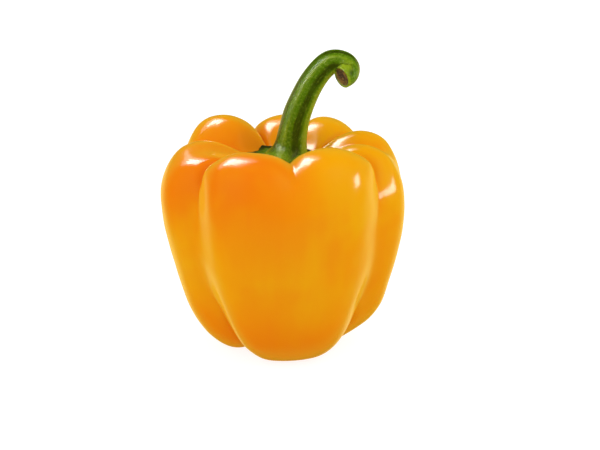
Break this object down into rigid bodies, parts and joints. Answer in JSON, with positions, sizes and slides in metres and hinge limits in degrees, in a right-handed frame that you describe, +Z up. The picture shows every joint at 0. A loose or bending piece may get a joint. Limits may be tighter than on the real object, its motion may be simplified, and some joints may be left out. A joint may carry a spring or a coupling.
{
  "type": "bell pepper",
  "caption": "Glossy orange bell pepper with rounded lobes, a green calyx in the top cavity and a thick stem that hooks over, standing upright on its lobes.",
  "frame": {"origin": "centre of the bounding box's bottom face, on the surface the pepper rests on", "axes": "+Z up through the fruit and out along its stem, +X to the side the stem hooks over to, -Y the front"},
  "size_m": [0.0884, 0.0846, 0.1103],
  "materials": {
    "fruit_skin": "waxy gloss",
    "calyx_skin": "rough satin",
    "stem_skin": "satin"
  },
  "bodies": {
    "root": {"fruit": "fruit_skin", "calyx": "calyx_skin", "stem": "stem_skin"}
  },
  "joints": []
}
